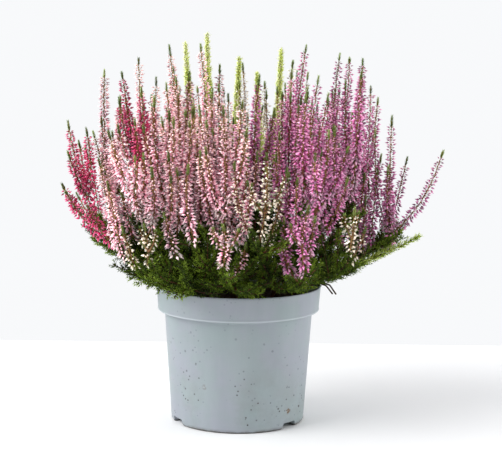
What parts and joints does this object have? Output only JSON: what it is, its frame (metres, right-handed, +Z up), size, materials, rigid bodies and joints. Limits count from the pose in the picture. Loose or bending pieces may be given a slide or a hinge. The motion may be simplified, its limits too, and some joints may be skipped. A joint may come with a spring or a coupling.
{
  "type": "potted heather",
  "caption": "Bushy bud-flowering heather with upright pink, cream, crimson and purple flower spikes in a round tapered nursery pot.",
  "frame": {"origin": "centre of the flat face that the pot stands on", "axes": "+Z up along the pot's axis, -Y toward the front, +X to the right; the plant is widest along X"},
  "size_m": [0.2953, 0.2442, 0.3041],
  "materials": {
    "pot": "matte blue-grey moulded plastic, slightly dusty",
    "soil": "dark crumbly peat compost",
    "leaves": "green scale leaves on brown woody stems",
    "lime_leaves": "bright yellow-green scale leaves",
    "crimson_buds": "soft matte crimson buds",
    "pink_buds": "soft matte light pink buds",
    "cream_buds": "soft matte cream buds",
    "purple_buds": "soft matte purple buds"
  },
  "bodies": {
    "root": {"pot": "pot", "soil": "soil", "leafy_stem_01": "leaves", "leafy_stem_02": "leaves", "leafy_stem_03": "leaves", "leafy_stem_04": "leaves", "leafy_stem_05": "leaves", "leafy_stem_06": "leaves", "leafy_stem_07": "leaves", "leafy_stem_08": "leaves", "leafy_stem_09": "leaves", "leafy_stem_10": "leaves", "leafy_stem_11": "leaves", "leafy_stem_12": "leaves", "leafy_stem_13": "leaves", "leafy_stem_14": "leaves", "lime_spray_1": "lime_leaves", "lime_spray_2": "lime_leaves", "crimson_head_01": "crimson_buds", "crimson_head_02": "crimson_buds", "crimson_head_03": "crimson_buds", "crimson_head_04": "crimson_buds", "crimson_head_05": "crimson_buds", "crimson_head_06": "crimson_buds", "pink_head_01": "pink_buds", "pink_head_02": "pink_buds", "pink_head_03": "pink_buds", "pink_head_04": "pink_buds", "pink_head_05": "pink_buds", "pink_head_06": "pink_buds", "pink_head_07": "pink_buds", "pink_head_08": "pink_buds", "pink_head_09": "pink_buds", "pink_head_10": "pink_buds", "pink_head_11": "pink_buds", "pink_head_12": "pink_buds", "pink_head_13": "pink_buds", "pink_head_14": "pink_buds", "pink_head_15": "pink_buds", "cream_head_01": "cream_buds", "cream_head_02": "cream_buds", "cream_head_03": "cream_buds", "cream_head_04": "cream_buds", "cream_head_05": "cream_buds", "cream_head_06": "cream_buds", "cream_head_07": "cream_buds", "cream_head_08": "cream_buds", "purple_head_01": "purple_buds", "purple_head_02": "purple_buds", "purple_head_03": "purple_buds", "purple_head_04": "purple_buds", "purple_head_05": "purple_buds", "purple_head_06": "purple_buds", "purple_head_07": "purple_buds", "purple_head_08": "purple_buds", "purple_head_09": "purple_buds", "purple_head_10": "purple_buds", "purple_head_11": "purple_buds", "purple_head_12": "purple_buds", "purple_head_13": "purple_buds"}
  },
  "joints": []
}
